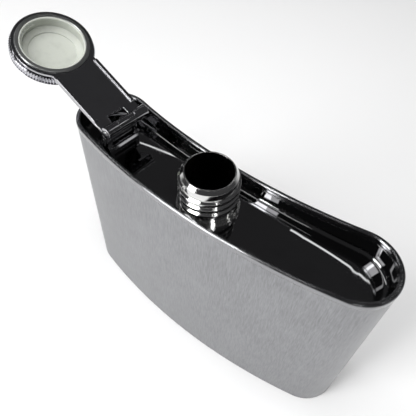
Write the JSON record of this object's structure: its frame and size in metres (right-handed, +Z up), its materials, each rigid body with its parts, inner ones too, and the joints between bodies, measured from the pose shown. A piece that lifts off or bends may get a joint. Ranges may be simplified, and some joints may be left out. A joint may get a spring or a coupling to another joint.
{
  "type": "hip flask",
  "caption": "Curved stainless hip flask with a recessed top, threaded neck and a captive knurled screw cap on a double-pin hinged arm.",
  "frame": {"origin": "middle of the underside of the base, on the table", "axes": "+Z up along the neck, +X along the width away from the hinge, -Y the convex front"},
  "size_m": [0.1174, 0.0259, 0.08],
  "materials": {
    "brushed": "fine vertical brushing",
    "polished": "mirror polished stainless",
    "pan_steel": "mirror polished stainless",
    "neck_steel": "polished stainless, turned",
    "hinge_steel": "polished stainless",
    "arm_steel": "polished stainless stamping",
    "pin_steel": "turned",
    "collar_steel": "satin turned",
    "head_steel": "polished, knurled edge",
    "liner_white": "off-white soft plastic"
  },
  "bodies": {
    "flask": {"body_wrap": "brushed", "bottom_plate": "brushed", "rim_band": "polished", "top_pan": "pan_steel", "neck_tube": "neck_steel", "neck_flange": "neck_steel", "hinge_bracket": "hinge_steel", "bracket_pin": "pin_steel"},
    "link": {"hinge_link": "hinge_steel"},
    "arm": {"cap_arm": "arm_steel", "arm_pin": "pin_steel"},
    "cap": {"cap_collar": "collar_steel", "cap_head": "head_steel", "cap_liner": "liner_white"}
  },
  "joints": [
    {"name": "link_hinge", "type": "hinge", "parent": "flask", "child": "link", "pos_m": [-0.03403, 0.00217, 0.05985], "axis": [0.0837, 0.9965, 0], "range_deg": [-25, 0]},
    {"name": "arm_hinge", "type": "hinge", "parent": "link", "child": "arm", "pos_m": [-0.03015, 0.00185, 0.0662], "axis": [0.0837, 0.9965, 0], "range_deg": [0, 159]},
    {"name": "cap_spin", "type": "hinge", "parent": "arm", "child": "cap", "pos_m": [-0.05792, 0.00418, 0.0769], "axis": [0.3571, -0.03, 0.9336], "continuous": true}
  ]
}
